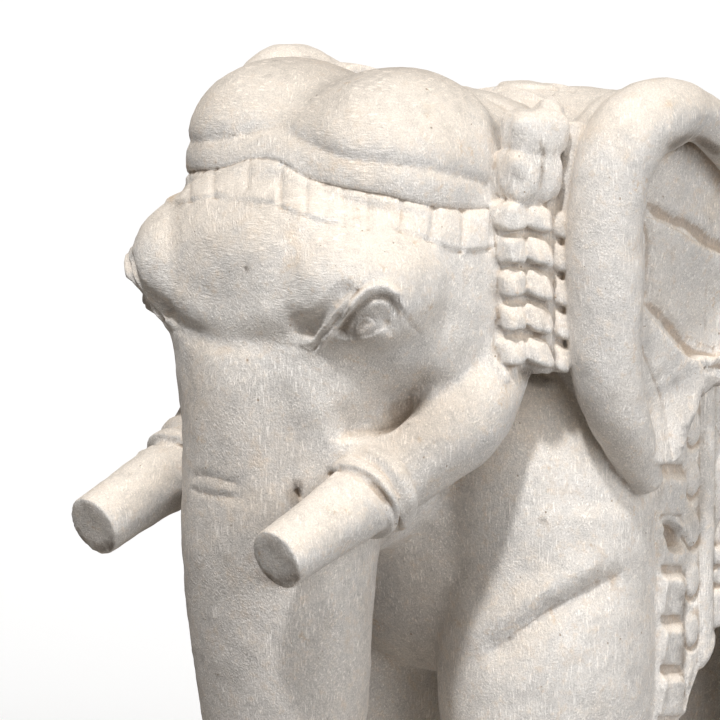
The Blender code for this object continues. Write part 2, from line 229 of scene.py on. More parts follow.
# The cloth's lower edge at its hanging front corner, by places back
CORNER_BACKS = [-9, -2, 3, 9, 20]
CORNER_FEET = [78, 93.6, 105.2, 115.3, 130]
BLOCK_WIDTH = 17.4
BLOCK_PITCH = 21.9
BLOCK_START = 14.2
BLOCK_SLOPE = 0.14
PETAL_START = 11.35
# A block's section from its foot, over its top, to the gap above it
BLOCK_PLACES = [0.0, 1.2, 2.2, 8.0, 15.0, 17.0, 18.0, 20.0, 21.9]
BLOCK_LIFTS = [-1.2, -1.0, 0.8, 1.3, 2.5, 2.3, 0.8, -0.9, -1.2]
PETAL_MIDDLE = 22.7
PETAL_HALF_WIDTH = 4.2
PETAL_HALF_HEIGHT = 7.5
PETAL_RISE = 1.0
PETAL_UNDERCUT = 1.5
RIM_MIDDLE = 31.2
RIM_HALF = 4.6
RIM_RISE = 2.6
# A broken hollow in the border under the left ear, as its middle's (back, up), its radii and its depth
POCKET = (-10, 173.5)
POCKET_RADII = (9.5, 8.5)
POCKET_DEPTH = 5.0
QUILT_PITCH = 24.0
QUILT_DEPTH = 0.55

# Each foot has rounded nails along its front, at these turns in degrees from straight ahead. A foot is given as
# its middle and how far its nails stand from there, across and to the front.
NAIL_TURNS = (-62, -21, 21, 62)
NAIL_RADII = (7.5, 6, 8.5)
FORE_FOOT = (Vector((52, -47, 2)), 38, 43)
HIND_FOOT = (Vector((52, 142, 2)), 37, 39)

# The base's width, and how its upright and its level edges are rounded
BASE_WIDTH = 204
BASE_CORNER = 12
BASE_EDGE = 1.5

# Lines carved on the head, as laid out on the drawing: their points, half their width in steps and their height in
# shares. A height below zero is a groove.
TILE_GROOVES = [
    ([(283, 163), (281, 207)], 5.0, -1.2),
    ([(308, 176), (306, 216)], 4.6, -0.8),
    ([(326, 186), (325, 222)], 4.0, -0.3),
    ([(344, 189), (343, 228)], 4.6, -0.6),
    ([(368, 194), (368, 229)], 4.6, -0.9),
    ([(402, 201), (400, 232)], 4.8, -1.1),
    ([(434, 208), (430, 243)], 7.0, -2.0),
    ([(463, 210), (461, 251)], 5.4, -1.5),
    ([(491, 208), (488, 249)], 5.0, -1.2),
]
FAR_TILE_GROOVES = [
    ([(193, 166), (190, 207)], 3.6, -1.0),
    ([(216, 166), (213, 207)], 4.4, -1.0),
    ([(250, 163), (248, 205)], 4.4, -0.8),
]
BROAD_LINES = [
    ([(150, 330), (200, 342), (250, 345), (290, 340)], 16, -1.2),
    ([(158, 305), (200, 314), (250, 318), (290, 306)], 20, 1.0),
    ([(345, 326), (366, 320), (388, 318)], 20, -2.2),
    ([(298, 332), (314, 324), (330, 308), (345, 291)], 14, -2.2),
    ([(336, 350), (356, 353), (378, 345), (396, 330)], 10, 0.6),
]
EYE_LINES = [
    ([(311, 343), (324, 327), (337, 311), (350, 296), (364, 279)], 2.6, 0.7),
    ([(314, 350), (327, 333), (340, 316), (350, 302), (358, 291)], 3.6, -1.0),
    ([(322, 341), (331, 332), (338, 325), (345, 315), (352, 304), (360, 295), (368, 288.5)], 3.6, 0.8),
    ([(350, 304), (358, 296), (365, 290), (372, 286.5), (380, 284.5), (388, 286.5), (396, 292.5)], 6, 1.1),
    ([(341, 331), (348, 322), (356, 312), (364, 304), (372, 299.5), (382, 298), (390, 301), (396, 309)], 6.5, -1.4),
    ([(336, 331), (345, 335)], 5, -0.8),
    ([(386, 322), (390, 332)], 7, -1.0),
    ([(354, 331), (354, 323), (361, 317), (370, 317), (376, 323), (375, 330)], 2.0, -0.6),
    ([(358, 328), (363, 322), (370, 324)], 1.8, -0.5),
    ([(338, 338), (352, 341), (368, 338), (382, 331)], 4, 0.4),
    ([(345, 334), (358, 336), (371, 333), (382, 326)], 2.6, -0.5),
    ([(397, 297), (401, 307), (405, 317), (412, 326), (420, 333)], 2.4, -0.7),
    ([(290, 346), (299, 349), (309, 352)], 5.5, -0.5),
    ([(294, 323), (303, 328), (311, 333)], 7, -1.0),
]
# The cheek's ridge has a hollow on one side, so its width and height are lists: of places across it, and of heights
FACE_LAPS = [
    (
        [(322, 440), (340, 437), (356, 434), (372, 431), (390, 424), (404, 412), (416, 399), (430, 385), (446, 371)],
        [-50, -34, -20, -9, -2, 2, 7, 16], [0, -0.8, -2.8, -4.6, -5.2, -3.8, -0.2, 0],
    ),
]
FACE_LINES = [
    ([(196, 474), (210, 477), (222, 480), (237, 484)], 3.2, -0.6),
    ([(198, 485), (217, 488), (238, 492)], 4, 0.4),
    ([(200, 494), (215, 496), (236, 498)], 3, -0.5),
    ([(297, 491), (300, 497)], 4.5, -3.0),
]
LIP_LINES = [
    ([(330, 474), (347, 473), (363, 480), (377, 490), (389, 505), (396, 518), (398, 528)], 5, -1.6),
    ([(344, 465), (362, 468), (378, 478), (392, 494), (401, 510), (404, 524)], 5, 0.8),
    ([(352, 489), (366, 497), (377, 510), (382, 526)], 7, 0.7),
]
EAR_LINES = [
    ([(664, 152), (674, 143), (688, 139), (702, 144), (716, 154)], 9, -4.0),
    ([(646, 218), (650, 240), (650, 268), (649, 294)], 6.5, -2.4),
    ([(635, 322), (640, 342), (650, 366), (666, 410), (674, 456)], 4, -1.0),
    ([(636, 195), (647, 201), (663, 208), (677, 214), (690, 219), (707, 233), (722, 239), (760, 250)], 3.4, -0.9),
    ([(636, 200), (647, 207), (663, 215), (677, 221), (690, 226), (707, 240), (722, 246), (760, 256)], 8, -1.8),
    ([(630, 285), (645, 295), (662, 308), (684, 333), (700, 343), (714, 348)], 3.4, -0.9),
    ([(630, 290), (645, 302), (660, 315), (684, 343), (697, 352), (710, 356)], 8, -1.8),
    ([(632, 288), (650, 302), (666, 317), (686, 341)], 2.4, -0.4),
    ([(690, 255), (694, 300)], 2.4, -0.35),
    ([(709, 262), (706, 300), (706, 330)], 2.4, -0.4),
    ([(672, 250), (674, 290)], 2.2, -0.3),
    ([(740, 262), (735, 300), (735, 350)], 2.4, -0.4),
    ([(770, 270), (762, 310), (764, 350)], 2.4, -0.4),
    ([(676, 380), (682, 402)], 2.2, -0.3),
    ([(690, 375), (690, 410)], 2.2, -0.3),
]
# The crease across each foreleg's top, drawn in the same way
LEG_LAPS = [
    (
        [(640, 566), (612, 576), (588, 588), (570, 598), (550, 609), (530, 622), (510, 634), (490, 650), (470, 668)],
        [-44, -22, -8, -1, 6, 18, 40], [0, -1.2, -3.0, -3.4, -0.6, 1.4, 0],
    ),
]
# The ridge and the crease fade out over this share of their length at each end
LAP_FADE = 0.22
# The strap's ends over the withers
WITHERS_LINES = [
    ([(470, 88), (490, 98), (510, 109)], 2.6, -0.9),
    ([(480, 86), (502, 95), (520, 103)], 2.6, -0.8),
    ([(520, 87), (550, 89), (604, 93)], 2.6, -0.7),
    ([(556, 84), (575, 92), (590, 104)], 2.6, -0.6),
]

# Where the stone is painted darker, with dirt and with painted shade, or, below zero, lighter with painted highlights,
# as middles, radii and strengths
DIRT_AND_PAINTED_LIGHT = [
    ((66, -140, 232), (46, 52, 44), 1.5),
    # painted shade on the chest between the forelegs, under the head
    ((20, -75, 170), (70, 45, 95), 2.3),
    # painted highlight on the front of the ear's roll
    ((105, -62, 300), (40, 40, 95), -1.1),
    # painted highlight on the brow
    ((30, -170, 300), (48, 40, 34), -1.7),
    # painted shade in the eye, under its upper lid
    ((62, -172, 268), (22, 30, 22), 0.5),
    ((64, -172, 277), (12, 14, 10), 1.2),
    ((20, -110, 372), (70, 60, 36), 1.2),
    # painted shadow of the ear's tip in the broken hollow of the border
    ((88, -10, 173), (14, 10, 9), 3.0),
]
# How much darker the trunk's front is painted below the brow
TRUNK_DARKENING = 1.1

# Dirt and painted shade, and rusty stains, as laid out on the drawing, like the carved lines, with how strong each is
DIRT_AND_SHADE_LINES = [
    # painted shade in the gap under the garland's end
    ([(524, 373), (536, 378), (548, 381)], 9, 5.0),
    ([(264, 573), (274, 580), (284, 582), (297, 578)], 5, 3.5),
    ([(72, 522), (78, 533), (87, 541), (99, 546)], 5, 3.5),
    # painted shade under the eye's upper lid
    ([(341, 331), (348, 321), (356, 311), (372, 298), (384, 297), (393, 303)], 5.5, 2.2),
    # painted shadow under the top of the ear's roll
    ([(672, 146), (684, 140), (700, 141), (716, 150)], 8, 3.5),
    ([(684, 572), (684, 620), (682, 700)], 3, 2.5),
    ([(300, 484), (293, 494), (299, 502)], 5, 2.5),
    # painted shade in the groove between the garland's columns of beads
    ([(544, 290), (545, 345)], 4, 1.6),
    ([(539, 140), (543, 152), (541, 185)], 3.5, 2.5),
]
STAIN_LINES = [
    ([(185, 165), (179, 178), (171, 197)], 6, 0.9),
    ([(290, 226), (296, 262)], 9, 0.28),
    ([(429, 107), (433, 112)], 5, 0.5),
    ([(667, 102), (672, 107)], 6, 0.45),
    ([(626, 154), (630, 160)], 5, 0.4),
    ([(228, 560), (236, 590)], 7, 0.25),
    ([(610, 575), (616, 590)], 6, 0.3),
    ([(342, 160), (362, 166), (388, 168)], 4, 0.25),
]

# How finely rasp marks lie along each axis, and how the slanting ones are turned
LEVEL_MARKS = (230, 230, 1300)
UPRIGHT_MARKS = (1300, 1300, 180)
SLANTING_MARKS = (1300, 1300, 200)
SLANT = (math.radians(38), math.radians(30), 0)

# How finely the stone is worked: the grain of the rough block and of the whole, and their rounds of smoothing
ROUGH_VOXEL = 2.0
ROUGH_SMOOTHING = 13
VALLEY_SMOOTHING = 110
FINE_VOXEL = 1.25
FINE_SMOOTHING = 2
MOST_TRIANGLES = 195000
# The head is worked more finely by this share, which fades to nothing between these two places
HEAD_ZOOM = 0.75
ZOOM_FRONT = -60.0
ZOOM_BACK = 60.0
# Over how many rounds of smoothing narrow and wide hollows are told from their surroundings
FINE_HOLLOW = 6
BROAD_HOLLOW = 60
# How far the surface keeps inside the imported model's box
BOX_MARGIN = 0.02
# How many straight parts a drawn line has from one of its points to the next
LINE_PARTS = 6


def colour_setting(name, description, default):
    """A colour that a user can change."""
    return bpy.props.FloatVectorProperty(
        name=name, description=description, default=default, subtype="COLOR", size=3, min=0, max=1,
    )


def light_setting(name, description, default):
    """A light's strength that a user can change."""
    return bpy.props.FloatProperty(name=name, description=description, default=default, min=0)


class CarvingSizes(bpy.types.PropertyGroup):
    """How deeply the stone is carved."""

    relief: bpy.props.FloatProperty(
        name="Relief", description="How deep the carved lines are, as a share of the photographed carving's",
        default=1.0, min=0.0, max=2.0, subtype="FACTOR",
    )
    waviness: bpy.props.FloatProperty(
        name="Waviness", description="How far hand work leaves the surface uneven", default=0.00035, unit="LENGTH",
    )


class MarbleFinish(bpy.types.PropertyGroup):
    """The marble's colours and its surface."""

    stone: colour_setting("Stone", "Clean marble", (0.79, 0.76, 0.725))
    cool: colour_setting("Cool stone", "Greyer marble", (0.715, 0.70, 0.685))
    warm: colour_setting("Warm stone", "Cream patches", (0.80, 0.715, 0.62))
    # The dirt colour also paints shade on the chest, in the eye and in gaps and hollows
    dirt: colour_setting("Dirt", "Brown dirt in the hollows", (0.34, 0.245, 0.165))
    rust: colour_setting("Rust", "Ochre stains", (0.55, 0.36, 0.18))
    roughness: bpy.props.FloatProperty(
        name="Roughness", description="How dull the stone is", default=0.62, min=0, max=1, subtype="FACTOR",
    )


class StudioSettings(bpy.types.PropertyGroup):
    """The lights, the floor and the camera."""

    key: light_setting("Key light", "Strength of the light from above", 2.7)
    front: light_setting("Front light", "Strength of the soft light in front", 0.45)
    side: light_setting("Side light", "Strength of the light from the right", 2.5)
    room: colour_setting("Room", "Light of the room", (0.085, 0.079, 0.072))
    floor: colour_setting("Floor", "Colour of the floor", (0.93, 0.93, 0.93))
    bounce: colour_setting("Bounce", "Share of the light that the floor throws back up", (0.155, 0.135, 0.115))


def place(across, back, up):
    """A point of the figure in shares, up from the ground."""
    return Vector((across, back, up + BASE_SHARES))


def in_scene(name, data):
    thing = bpy.data.objects.new(name, data)
    bpy.context.scene.collection.objects.link(thing)
    return thing


def mesh_of(thing):
    """The object's final mesh. The object itself is removed."""
    bpy.context.view_layer.update()
    graph = bpy.context.evaluated_depsgraph_get()
    mesh = bpy.data.meshes.new_from_object(thing.evaluated_get(graph), depsgraph=graph)
    mesh.transform(thing.matrix_world)
    bpy.data.objects.remove(thing, do_unlink=True)
    return mesh


def to_mesh(form):
    mesh = bpy.data.meshes.new("form")
    form.to_mesh(mesh)
    form.free()
    return mesh


def turned_to(centre, turn):
    """A move to this centre after a turn about the upright by this many degrees."""
    return Matrix.Translation(place(*centre)) @ Matrix.Rotation(math.radians(turn), 4, "Z")


def ball(centre, radii, square=2.0, turn=0.0):
    """An ellipsoid, or with a higher square a rounded block, turned about the upright by this many degrees."""
    form = bmesh.new()
    bmesh.ops.create_uvsphere(form, u_segments=96, v_segments=48, radius=1.0)
    for vertex in form.verts:
        vertex.co /= sum(abs(value) ** square for value in vertex.co) ** (1 / square)
    form.transform(turned_to(centre, turn) @ Matrix.Diagonal((*radii, 1.0)))
    return to_mesh(form)


def bead(centre, radii, slope):
    """A bead cut like a shingle. It leans out towards its flat foot, and slopes down towards the ear."""
    form = bmesh.new()
    bmesh.ops.create_uvsphere(form, u_segments=64, v_segments=48, radius=1.0)
    for vertex in form.verts:
        spot = vertex.co
        section = (abs(spot.x) ** 5 + abs(spot.z) ** 5) ** 0.2
        spot /= (section**3 + abs(spot.y) ** 3) ** (1 / 3)
        spot.z = max(spot.z, -BEAD_FOOT)
        spot.x, spot.y, spot.z = (value * radius for value, radius in zip(spot, radii))
        spot.x -= BEAD_LEAN * spot.z / radii[2]
        spot.z -= slope * spot.y
    form.transform(turned_to(centre, GARLAND_TURN))
    return to_mesh(form)


def smooth_curve(places, **settings):
    """A curve with these settings and its spline, smooth through these places."""
    curve = bpy.data.curves.new("curve", "CURVE")
    for name, value in settings.items():
        setattr(curve, name, value)
    spline = curve.splines.new("BEZIER")
    spline.bezier_points.add(len(places) - 1)
    for point, spot in zip(spline.bezier_points, places):
        point.co = spot
        point.handle_left_type = "AUTO"
        point.handle_right_type = "AUTO"
    return curve, spline


def limb(stations, flatten=1.0):
    """A round limb through stations of (across, back, up, radius), its width across scaled by flatten."""
    curve, spline = smooth_curve(
        [place(*spot) for *spot, _ in stations],
        dimensions="3D", bevel_depth=1.0, bevel_resolution=14, use_fill_caps=True, resolution_u=16,
    )
    spline.radius_interpolation = "CARDINAL"
    for point, (*_, radius) in zip(spline.bezier_points, stations):
        point.radius = radius
    mesh = mesh_of(in_scene("limb", curve))
    middle = Matrix.Translation((stations[0][0], 0, 0))
    mesh.transform(middle @ Matrix.Diagonal((flatten, 1, 1, 1)) @ middle.inverted())
    return mesh


def slab(outline, inner, outer):
    """A flat plate with this (back, up) outline, from inner to outer across."""
    curve, spline = smooth_curve(
        [(back, up + BASE_SHARES, 0.0) for back, up in outline],
        dimensions="2D", fill_mode="BOTH", resolution_u=10, extrude=(outer - inner) / 2,
    )
    spline.use_cyclic_u = True
    plate = in_scene("slab", curve)
    plate.rotation_euler = (math.radians(90), 0, math.radians(90))
    plate.location.x = (outer + inner) / 2
    return mesh_of(plate)


def ring(centre, direction, radius, thickness):
    """A collar about the line through centre in this direction."""
    bpy.ops.mesh.primitive_torus_add(
        major_radius=radius, minor_radius=thickness, major_segments=64, minor_segments=20,
    )
    collar = bpy.context.object
    collar.rotation_mode = "QUATERNION"
    collar.rotation_quaternion = Vector(direction).to_track_quat("Z", "Y")
    collar.location = place(*centre)
    return mesh_of(collar)


def on_both_sides(meshes):
    """These meshes and their reflections in the middle plane."""
    reflected = []
    for mesh in meshes:
        other = mesh.copy()
        other.transform(Matrix.Diagonal((-1, 1, 1, 1)))
        other.flip_normals()
        reflected.append(other)
    return [*meshes, *reflected]


def zoom_table():
    """Places along the figure, how much finer the stone is worked at each, and where each lies when enlarged."""
    backs = np.linspace(-400, 400, 1601)
    share = np.clip((ZOOM_BACK - backs) / (ZOOM_BACK - ZOOM_FRONT), 0, 1)
    zoom = 1 + HEAD_ZOOM * share * share * (3 - 2 * share)
    lengths = np.cumsum(zoom) * (backs[1] - backs[0])
    return backs, zoom, lengths - np.interp(0, backs, lengths)


def enlarge(mesh, undo=False):
    """Enlarges the mesh towards the head, or undoes that, so that one voxel size works the head more finely."""
    backs, zoom, lengths = zoom_table()
    points = np.empty(len(mesh.vertices) * 3, np.float32)
    mesh.vertices.foreach_get("co", points)
    points = points.reshape(-1, 3).astype(np.float64)
    if undo:
        points[:, 1] = np.interp(points[:, 1], lengths, backs)
        points[:, [0, 2]] /= np.interp(points[:, 1], backs, zoom)[:, None]
    else:
        points[:, [0, 2]] *= np.interp(points[:, 1], backs, zoom)[:, None]
        points[:, 1] = np.interp(points[:, 1], backs, lengths)
    mesh.vertices.foreach_set("co", points.astype(np.float32).reshape(-1))
    mesh.update()


def fuse(meshes, voxel, smoothing, fine=False):
    """One closed skin about all these meshes, smoothed so that they run into each other."""
    form = bmesh.new()
    for mesh in meshes:
        form.from_mesh(mesh)
        bpy.data.meshes.remove(mesh)
    joined = to_mesh(form)
    if fine:
        enlarge(joined)
    body = in_scene("form", joined)
    skin = body.modifiers.new("one skin", "REMESH")
    skin.mode = "VOXEL"
    skin.voxel_size = voxel
    soften = body.modifiers.new("soften", "SMOOTH")
    soften.factor = 0.5
    soften.iterations = smoothing
    fused = mesh_of(body)
    if fine:
        enlarge(fused, undo=True)
    return fused


def masses():
    """The torso, legs, head and trunk, before any ornament."""
    middle = [*(ball(*mass) for mass in MIDDLE_MASSES), limb(TRUNK)]
    side = [
        *(ball(*mass) for mass in SIDE_MASSES),
        limb(CHEEK),
        limb(FORE_LEG, FORE_LEG_FLATTEN),
        limb(HIND_LEG, HIND_LEG_FLATTEN),
        slab(CLOTH_SIDE, CLOTH_SIDE_INNER, CLOTH_SIDE_OUTER),
    ]
    return [*middle, *on_both_sides(side)]


def tusk():
    root = Vector(TUSK_ROOT)
    tip = Vector(TUSK_TIP)
    forward = (tip - root).normalized()
    middle = (root + tip) / 2
    return [
        limb([(*root, TUSK_RADIUS / TUSK_TAPER), (*middle, TUSK_RADIUS), (*tip, TUSK_RADIUS * TUSK_TAPER)]),
        ring(root + forward * LIP_SETBACK, forward, LIP_RADIUS, LIP_THICKNESS),
        ring(root + forward * (LIP_SETBACK - LIP_SPACING), forward, LIP_RADIUS, LIP_THICKNESS * 1.5),
    ]


def ears():
    """Both ears, the right one pinched and a little taller."""
    parts = [
        slab(EAR_OUTLINE, EAR_ROOT, EAR_HOLLOW_OUT),
        slab(EAR_FOLD, EAR_ROOT, EAR_FOLD_OUT),
        slab(EAR_LEAF, EAR_ROOT, EAR_LEAF_OUT),
        limb(EAR_ROLL),
        limb(EAR_NECK),
    ]
    both = on_both_sides(parts)
    for mesh in both:
        for vertex in mesh.vertices:
            spot = vertex.co
            if spot.x < 0:
                share = FAR_EAR_PINCH * float(step(spot.z - BASE_SHARES, *EAR_PINCH_UPS))
                spot.y -= share * (spot.y - EAR_FRONT)
                spot.z += (FAR_EAR_GROWTH - 1) * max(0.0, spot.z - BASE_SHARES - FAR_EAR_FOOT)
    return both


def garland():
    turn = math.radians(GARLAND_TURN)
    run = Vector((-math.sin(turn), math.cos(turn), 0))
    middle = GARLAND_TOP - Vector((0, 0, (GARLAND_ROWS - 1) * GARLAND_PITCH / 2))
    parts = [ball(middle + run * GARLAND_BACKING_SHIFT, GARLAND_BACKING, square=4, turn=GARLAND_TURN)]
    for row in range(GARLAND_ROWS):
        for along, drop, radii, slope in GARLAND_BEADS:
            parts.append(bead(GARLAND_TOP + run * along - Vector((0, 0, row * GARLAND_PITCH + drop)), radii, slope))
    knot = GARLAND_TOP + run * KNOT_SHIFT + Vector((0, 0, KNOT_LIFT))
    for lift, half in KNOT_HALVES:
        centre = knot + run * KNOT_RAKE * lift + Vector((0, 0, lift))
        parts.append(ball(centre, (*KNOT_RADII, half), square=3.4, turn=GARLAND_TURN))
    parts += [ball(knot + KNOB_LIFT, KNOB_RADII), limb(KNOT_STRAP)]
    return parts


def nails():
    parts = []
    for middle, reach_across, reach_back in (FORE_FOOT, HIND_FOOT):
        for turn in NAIL_TURNS:
            angle = math.radians(turn)
            outward = Vector((math.sin(angle) * reach_across, -math.cos(angle) * reach_back, 0))
            parts.append(ball(middle + outward, NAIL_RADII))
    return parts


def base():
    """The low slab under the feet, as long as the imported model's."""
    low, high = CAD_BOX
    form = bmesh.new()
    bmesh.ops.create_cube(form, size=1.0)
    form.transform(Matrix.Diagonal((BASE_WIDTH, (high.y - low.y) / SHARE, BASE_SHARES, 1)))
    for upright, offset, segments in ((True, BASE_CORNER, 8), (False, BASE_EDGE, 2)):
        rises = {edge: abs(edge.verts[0].co.z - edge.verts[1].co.z) for edge in form.edges}
        edges = [edge for edge, rise in rises.items() if (rise > 2 * BASE_EDGE) == upright]
        bmesh.ops.bevel(form, geom=edges, offset=offset, segments=segments, affect="EDGES", profile=0.5)
    form.transform(Matrix.Translation((0, 0, BASE_SHARES / 2)))
    return to_mesh(form)


def swell(distance, reach):
    """One at no distance, falling smoothly to nothing at this reach."""
    share = np.clip(np.abs(distance) / reach, 0.0, 1.0)
    return (1 - share**2) ** 2


def step(value, low, high):
    share = np.clip((value - low) / (high - low), 0.0, 1.0)
    return share * share * (3 - 2 * share)


def smooth_line(points):
    """A smooth line through these points, as short straight parts."""
    spots = np.array([points[0], *points, points[-1]], float)
    line = []
    for before, start, end, after in zip(spots, spots[1:], spots[2:], spots[3:]):
        for t in np.arange(LINE_PARTS) / LINE_PARTS:
            line.append(
                0.5 * (2 * start + (end - before) * t + (2 * before - 5 * start + 4 * end - after) * t**2
                       + (3 * start - before - 3 * end + after) * t**3)
            )
    return np.array([*line, spots[-1]])


def from_line(line, x, y):
    """The distance of each place from the line, how far along it the nearest spot is, and the side it lies on."""
    nearest = np.full(len(x), 1e9)
    along = np.zeros(len(x))
    side = np.zeros(len(x))
    lengths = np.hypot(*np.diff(line, axis=0).T)
    gone = 0.0
    for (x0, y0), (x1, y1), length in zip(line, line[1:], lengths):
        t = np.clip(((x - x0) * (x1 - x0) + (y - y0) * (y1 - y0)) / max(length, 1e-9) ** 2, 0, 1)
        dx = x - x0 - t * (x1 - x0)
        dy = y - y0 - t * (y1 - y0)
        distance = np.hypot(dx, dy)
        closer = distance < nearest
        nearest[closer] = distance[closer]
        along[closer] = (gone + t * length)[closer] / lengths.sum()
        side[closer] = np.sign((x1 - x0) * dy - (y1 - y0) * dx)[closer]
        gone += length
    return nearest, along, side


def inside(outline, x, y):
    """Whether each place lies inside this closed outline."""
    within = np.zeros(len(x), bool)
    for (x0, y0), (x1, y1) in zip(outline, [*outline[1:], outline[0]]):
        crosses = (y0 > y) != (y1 > y)
        reach = x0 + (y - y0) * (x1 - x0) / (y1 - y0 if y1 != y0 else 1e-9)
        within ^= crosses & (x < reach)
    return within


class Skin:
    """The points of the stone's surface, which the carving moves in or out."""

    def __init__(self, mesh):
        self.mesh = mesh
        self.points = self.read("co")
        self.normals = self.read("normal")

    def read(self, what):
        values = np.empty(len(self.mesh.vertices) * 3, np.float32)
        self.mesh.vertices.foreach_get(what, values)
        return values.reshape(-1, 3).astype(np.float64)

    @property
    def across(self):
        return self.points[:, 0]

    @property
    def back(self):
        return self.points[:, 1]

    @property
    def up(self):
        return self.points[:, 2] - BASE_SHARES

    @property
    def aside(self):
        """How far each point lies from the middle plane."""
        return np.abs(self.across)

    @property
    def places(self):
        """The points' places, those of the right side reflected to the left."""
        return np.stack([self.aside, self.back, self.up], 1)

    def close_to(self, middle, radii):
        """One at this place, falling to nothing at these radii from it."""
        return swell(np.linalg.norm((self.places - middle) / radii, axis=1), 1)

    @property
    def ear_back(self):
        """How far back each point lies, with the right ear's pinch taken away."""
        share = (self.across < 0) * FAR_EAR_PINCH * step(self.up, *EAR_PINCH_UPS)
        return (self.back - share * EAR_FRONT) / (1 - share)

    def move(self, amount, directions=None):
        """Moves the surface out by this many shares, or along these directions."""
        self.points += (self.normals if directions is None else directions) * amount[:, None]
        self.write()

    def write(self):
        self.mesh.vertices.foreach_set("co", self.points.astype(np.float32).reshape(-1))
        self.mesh.update()
        self.normals = self.read("normal")

    def on_drawing(self, mirrored=True):
        """Where each point lies on the drawing, and how squarely it faces it. Mirrored, the right side's points
        take the places of their reflections on the left."""
        eye, right, upward, backward = drawing_axes()
        points = self.points.copy()
        normals = self.normals.copy()
        if mirrored:
            normals[:, 0] *= np.sign(points[:, 0])
            points[:, 0] = np.abs(points[:, 0])
        away = points - np.array(eye)
        depth = -away @ np.array(backward)
        x = DRAWING_STEPS / 2 + away @ np.array(right) / depth * DRAWING_DISTANCE
        y = DRAWING_STEPS / 2 - away @ np.array(upward) / depth * DRAWING_DISTANCE
        return x, y, normals @ np.array(backward)


def seen_from(turn, height):
    """The direction towards an eye or a light that stands this far round from the front, and this far up."""
    return Vector((math.sin(turn) * math.cos(height), -math.cos(turn) * math.cos(height), math.sin(height)))


def drawing_axes():
    """The eye that the drawing is seen from, and the directions right, up and back towards it, in shares."""
    backward = seen_from(DRAWING_TURN, DRAWING_TILT)
    right = Vector((math.cos(DRAWING_TURN), math.sin(DRAWING_TURN), 0))
    upward = backward.cross(right)
    target = place(*DRAWING_ORIGIN) + (right * DRAWING_OFFSET[0] + upward * DRAWING_OFFSET[1]) * DRAWING_STEP
    return target + backward * DRAWING_DISTANCE * DRAWING_STEP, right, upward, backward


def drawn(skin, lines, where, mirrored=True, least_facing=0.05):
    """What these lines of the drawing lift, at the points of the skin that this mask holds."""
    x, y, facing = skin.on_drawing(mirrored)
    lift = np.zeros(len(x))
    for points, widths, heights in lines:
        line = smooth_line(points)
        reach = np.max(np.abs(widths))
        low, high = line.min(0) - reach, line.max(0) + reach
        near = where & (facing > least_facing) & (x > low[0]) & (x < high[0]) & (y > low[1]) & (y < high[1])
        distance, along, side = from_line(line, x[near], y[near])
        if np.ndim(widths):
            ends = step(along, 0, LAP_FADE) * step(1 - along, 0, LAP_FADE)
            lifted = np.interp(distance * side, widths, heights) * ends
        else:
            lifted = heights * swell(distance, widths)
        lift[near] += lifted * step(facing[near], least_facing, least_facing + 0.2)
    return lift


def on_garland(skin):
    """Whether each point lies within the garland's height and length along the head's side."""
    turn = math.radians(GARLAND_TURN)
    aside, back = skin.aside - GARLAND_TOP.x, skin.back - GARLAND_TOP.y
    along = back * math.cos(turn) - aside * math.sin(turn)
    out = aside * math.cos(turn) + back * math.sin(turn)
    front, rear = GARLAND_REACH
    return (along > front) & (along < rear) & (out > -GARLAND_DEPTH) & (skin.up > GARLAND_FOOT)


def headband(skin):
    """What the headband's strap, grooves and tiles lift."""
    across, back, up = skin.across, skin.back, skin.up
    turn = np.degrees(np.arctan2(skin.aside, HEAD_AXIS_BACK - back))
    radius = np.hypot(across, HEAD_AXIS_BACK - back)
    upper = np.interp(turn, UPPER_TURNS, UPPER_EDGE)
    lower = np.interp(turn, LOWER_TURNS, LOWER_EDGE)
    foot = np.interp(turn, FOOT_TURNS, FOOT_EDGE)
    place_down = np.where(up > lower, (upper - up) / (upper - lower), 1 + (lower - up) / (lower - foot))
    lift = np.interp(place_down, BAND_PLACES, BAND_LIFTS)
    end = 1 - step(turn, BAND_END_TURN - 4, BAND_END_TURN + 2)
    # Only the head itself carries the band, not the ears behind it or the garland at its end
    in_front = (back < -85) & (up > 295) & (up < 372) & (radius < 100) & ~on_garland(skin)
    lift *= end
    on_tiles = (place_down > 1.0) & (place_down < 2.1) & in_front
    far_front = (across <= 0) & (turn <= FAR_TILES_TURN)
    lift += drawn(skin, TILE_GROOVES, on_tiles & ~far_front)
    lift += drawn(skin, FAR_TILE_GROOVES, on_tiles & far_front, mirrored=False)
    return lift * in_front


def cloth_edge_distance(back, up):
    """How far inside the cloth's edge these places of the side are, negative outside it."""
    foot = np.interp(back, CORNER_BACKS, CORNER_FEET)
    return np.minimum(np.minimum(back - CLOTH_FRONT, CLOTH_BACK - back), up - foot)


